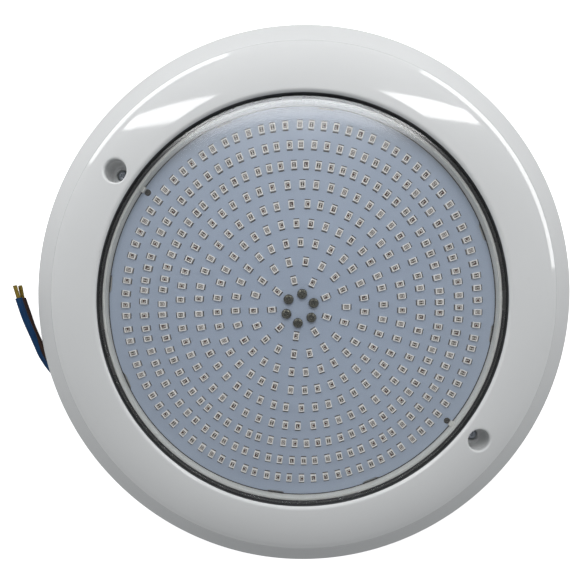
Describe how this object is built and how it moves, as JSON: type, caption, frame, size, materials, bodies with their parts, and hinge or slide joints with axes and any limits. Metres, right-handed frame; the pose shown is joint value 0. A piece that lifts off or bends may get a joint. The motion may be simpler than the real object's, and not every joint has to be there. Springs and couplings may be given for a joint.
{
  "type": "underwater pool light",
  "caption": "Slim round underwater pool light: clear lens over a ringed LED board, glossy grey face ring with screw recesses, wall plate and wound lead.",
  "frame": {"origin": "centre of the back face of the wall plate, on the plane that the light lies on, centred on the face ring", "axes": "+Z is the way the light shines; +X right and +Y up as the light is seen from the front; the lead comes out on the -X side"},
  "size_m": [0.2632, 0.25, 0.0294],
  "materials": {
    "ring_abs": "light grey moulded ABS, glossy top",
    "plate_abs": "satin white ABS",
    "housing_abs": "satin off-white ABS",
    "lens_pc": "clear polycarbonate, polished",
    "seal_silicone": "white silicone",
    "board_mask": "blue-grey aluminium circuit board with white-ish mask",
    "stainless": "stainless steel",
    "dark_screw": "dark stainless steel",
    "insert_brass": "turned brass",
    "driver_mask": "green circuit board",
    "terminal_green": "green terminal block",
    "component_black": "black moulded component",
    "capacitor_sleeve": "dark blue sleeve",
    "inductor_copper": "enamelled copper winding",
    "gland_nylon": "black nylon",
    "gland_rubber": "dark rubber",
    "cable_sheath": "black rubber sheath",
    "core_blue": "blue PVC insulation",
    "core_brown": "brown PVC insulation",
    "copper": "bare stranded copper"
  },
  "bodies": {
    "wall_side": {"screw_insert_a": "insert_brass", "screw_insert_b": "insert_brass", "mounting_plate": "plate_abs", "lamp_housing": "housing_abs", "led_board": "board_mask", "board_screw_1": "dark_screw", "board_screw_2": "dark_screw", "board_screw_3": "dark_screw", "board_screw_4": "dark_screw", "board_screw_5": "dark_screw", "board_screw_6": "dark_screw", "lens_seal": "seal_silicone", "lens": "lens_pc", "driver_board": "driver_mask", "terminal_block": "terminal_green", "rectifier": "component_black", "capacitor_a": "capacitor_sleeve", "capacitor_b": "capacitor_sleeve", "inductor": "inductor_copper", "controller_chip": "component_black", "gland_body": "gland_nylon", "gland_seal": "gland_rubber", "strain_relief": "gland_rubber", "cable_lead_in": "cable_sheath", "cable_coil": "cable_sheath", "core_blue": "core_blue", "core_brown": "core_brown", "copper_blue": "copper", "copper_brown": "copper", "inner_wire_blue": "core_blue", "inner_wire_brown": "core_brown"},
    "front_ring": {"face_ring": "ring_abs"},
    "screw_a": {"ring_screw_a": "stainless"},
    "screw_b": {"ring_screw_b": "stainless"},
    "gland_cap": {"gland_nut": "gland_nylon"}
  },
  "joints": [
    {"name": "ring_lift_off", "type": "slide", "parent": "wall_side", "child": "front_ring", "axis": [0, 0, 1], "range_m": [0, 0.045]},
    {"name": "ring_screw_a_turn", "type": "hinge", "parent": "front_ring", "child": "screw_a", "pos_m": [-0.07737, 0.05767, 0.02], "axis": [0, 0, 1], "continuous": true},
    {"name": "ring_screw_b_turn", "type": "hinge", "parent": "front_ring", "child": "screw_b", "pos_m": [0.07787, -0.05699, 0.02], "axis": [0, 0, 1], "continuous": true},
    {"name": "gland_nut_turn", "type": "hinge", "parent": "wall_side", "child": "gland_cap", "pos_m": [-0.08274, 0.0031, 0.0102], "axis": [-0.5736, 0.8192, 0], "continuous": true}
  ]
}
